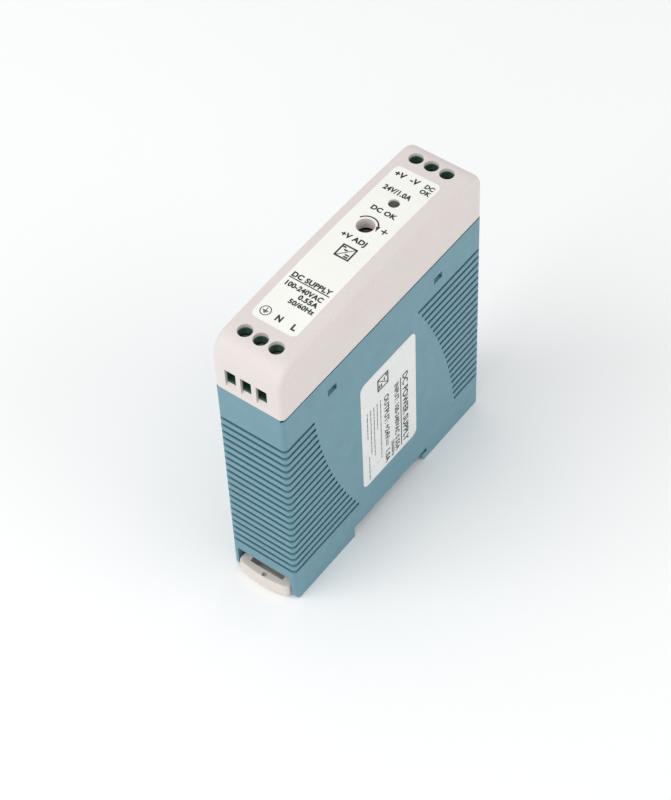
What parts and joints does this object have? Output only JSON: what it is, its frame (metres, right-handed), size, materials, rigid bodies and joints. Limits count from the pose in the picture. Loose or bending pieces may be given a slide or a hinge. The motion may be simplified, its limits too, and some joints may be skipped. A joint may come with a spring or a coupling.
{
  "type": "din rail power supply",
  "caption": "Slim power supply in a grooved blue-grey case with a light cap, screw terminals at both ends, and a sprung foot that snaps onto a 35 mm rail.",
  "frame": {"origin": "middle of the flat seat that lies on the front of the rail, halfway across the width and on the rail's centre line", "axes": "+X across the width, along the rail; +Y up when the rail is on a wall, from the input terminals and the pull tab to the output terminals; +Z out of the wall, towards the front cover"},
  "size_m": [0.0227, 0.0921, 0.1001],
  "materials": {
    "housing_plastic": "fine-textured blue-grey moulded plastic",
    "cover_plastic": "smooth warm light grey moulded plastic",
    "label_film": "white printed film",
    "rating_plate": "satin silver-white film",
    "clip_plastic": "light warm grey acetal",
    "spring_steel": "bright spring wire",
    "terminal_plastic": "dark green glass-filled polyamide",
    "tinned_brass": "tin-plated brass",
    "trimmer_plastic": "blue moulded plastic",
    "rotor_plastic": "grey moulded plastic",
    "lamp_resin": "diffused green epoxy",
    "tinned_lead": "tinned wire",
    "black_moulding": "black moulding compound",
    "capacitor_sleeve": "dark shrink sleeve over an aluminium can",
    "blue_coating": "blue dipped coating",
    "green_coating": "dark green dipped coating",
    "yellow_case": "yellow potted box",
    "ferrite": "dark grey ferrite",
    "enamelled_wire": "copper wire under enamel",
    "yellow_tape": "yellow polyester tape",
    "heatsink_aluminium": "mill-finish plate",
    "zinc_steel": "zinc-plated steel",
    "resistor_coating": "grey-blue lacquer",
    "chip_ceramic": "brown ceramic",
    "board_laminate": "glass-epoxy laminate with green solder mask",
    "solder": "bright tin solder",
    "clear_film": "milky polyester film"
  },
  "bodies": {
    "case": {"housing": "housing_plastic", "front_cover": "cover_plastic", "front_label": "label_film", "side_label": "rating_plate", "clip_spring": "spring_steel", "input_terminal_block": "terminal_plastic", "output_terminal_block": "terminal_plastic", "input_contacts": "tinned_brass", "output_contacts": "tinned_brass", "trimmer_body": "trimmer_plastic", "status_led": "lamp_resin", "led_leads": "tinned_lead", "led_spacer": "black_moulding", "bulk_capacitor": "capacitor_sleeve", "output_capacitors": "capacitor_sleeve", "bias_capacitor": "capacitor_sleeve", "varistor": "blue_coating", "thermistor": "green_coating", "safety_capacitors": "blue_coating", "line_capacitor": "yellow_case", "fuse": "black_moulding", "bridge_rectifier": "black_moulding", "optocoupler": "black_moulding", "controller_ic": "black_moulding", "choke_core": "ferrite", "choke_windings": "enamelled_wire", "transformer_core": "ferrite", "transformer_bobbin": "black_moulding", "transformer_winding": "yellow_tape", "switch_heatsink": "heatsink_aluminium", "switch_package": "black_moulding", "switch_screw": "zinc_steel", "diode_heatsink": "heatsink_aluminium", "diode_package": "black_moulding", "diode_screw": "zinc_steel", "output_inductor": "ferrite", "power_resistors": "resistor_coating", "board_link": "tinned_lead", "chip_parts": "chip_ceramic", "main_board": "board_laminate", "front_board": "board_laminate", "solder_joints": "solder", "insulation_sheet": "clear_film"},
    "clip": {"rail_clip": "clip_plastic"},
    "trimmer": {"trimmer_rotor": "rotor_plastic"},
    "input_screw_1": {"input_screw_1": "zinc_steel"},
    "input_cage_1": {"input_cage_1": "zinc_steel"},
    "input_screw_2": {"input_screw_2": "zinc_steel"},
    "input_cage_2": {"input_cage_2": "zinc_steel"},
    "input_screw_3": {"input_screw_3": "zinc_steel"},
    "input_cage_3": {"input_cage_3": "zinc_steel"},
    "output_screw_1": {"output_screw_1": "zinc_steel"},
    "output_cage_1": {"output_cage_1": "zinc_steel"},
    "output_screw_2": {"output_screw_2": "zinc_steel"},
    "output_cage_2": {"output_cage_2": "zinc_steel"},
    "output_screw_3": {"output_screw_3": "zinc_steel"},
    "output_cage_3": {"output_cage_3": "zinc_steel"}
  },
  "joints": [
    {"name": "clip_slide", "type": "slide", "parent": "case", "child": "clip", "axis": [0, -1, 0], "range_m": [0, 0.0045], "stiffness_N_per_m": 1500, "springref_m": -0.002, "deforming": ["clip_spring"]},
    {"name": "trimmer_turn", "type": "hinge", "parent": "case", "child": "trimmer", "pos_m": [-0.0014, 0.0084, 0.0839], "axis": [0, 0, 1], "range_deg": [-130, 130]},
    {"name": "input_screw_1_turn", "type": "hinge", "parent": "case", "child": "input_screw_1", "pos_m": [-0.00548, -0.0381, 0.0899], "axis": [0, 0, -1], "range_deg": [0, 1650]},
    {"name": "input_cage_1_lift", "type": "slide", "parent": "case", "child": "input_cage_1", "axis": [0, 0, 1], "range_m": [0, 0.00228]},
    {"name": "input_screw_2_turn", "type": "hinge", "parent": "case", "child": "input_screw_2", "pos_m": [-0.0004, -0.0381, 0.0899], "axis": [0, 0, -1], "range_deg": [0, 1650]},
    {"name": "input_cage_2_lift", "type": "slide", "parent": "case", "child": "input_cage_2", "axis": [0, 0, 1], "range_m": [0, 0.00228]},
    {"name": "input_screw_3_turn", "type": "hinge", "parent": "case", "child": "input_screw_3", "pos_m": [0.00468, -0.0381, 0.0899], "axis": [0, 0, -1], "range_deg": [0, 1650]},
    {"name": "input_cage_3_lift", "type": "slide", "parent": "case", "child": "input_cage_3", "axis": [0, 0, 1], "range_m": [0, 0.00228]},
    {"name": "output_screw_1_turn", "type": "hinge", "parent": "case", "child": "output_screw_1", "pos_m": [-0.00548, 0.0371, 0.0899], "axis": [0, 0, -1], "range_deg": [0, 1650]},
    {"name": "output_cage_1_lift", "type": "slide", "parent": "case", "child": "output_cage_1", "axis": [0, 0, 1], "range_m": [0, 0.00228]},
    {"name": "output_screw_2_turn", "type": "hinge", "parent": "case", "child": "output_screw_2", "pos_m": [-0.0004, 0.0371, 0.0899], "axis": [0, 0, -1], "range_deg": [0, 1650]},
    {"name": "output_cage_2_lift", "type": "slide", "parent": "case", "child": "output_cage_2", "axis": [0, 0, 1], "range_m": [0, 0.00228]},
    {"name": "output_screw_3_turn", "type": "hinge", "parent": "case", "child": "output_screw_3", "pos_m": [0.00468, 0.0371, 0.0899], "axis": [0, 0, -1], "range_deg": [0, 1650]},
    {"name": "output_cage_3_lift", "type": "slide", "parent": "case", "child": "output_cage_3", "axis": [0, 0, 1], "range_m": [0, 0.00228]}
  ],
  "couplings": [
    {"joint": "input_screw_1_turn", "follows": "input_cage_1_lift", "rad_per_m": 12566},
    {"joint": "input_screw_2_turn", "follows": "input_cage_2_lift", "rad_per_m": 12566},
    {"joint": "input_screw_3_turn", "follows": "input_cage_3_lift", "rad_per_m": 12566},
    {"joint": "output_screw_1_turn", "follows": "output_cage_1_lift", "rad_per_m": 12566},
    {"joint": "output_screw_2_turn", "follows": "output_cage_2_lift", "rad_per_m": 12566},
    {"joint": "output_screw_3_turn", "follows": "output_cage_3_lift", "rad_per_m": 12566}
  ]
}
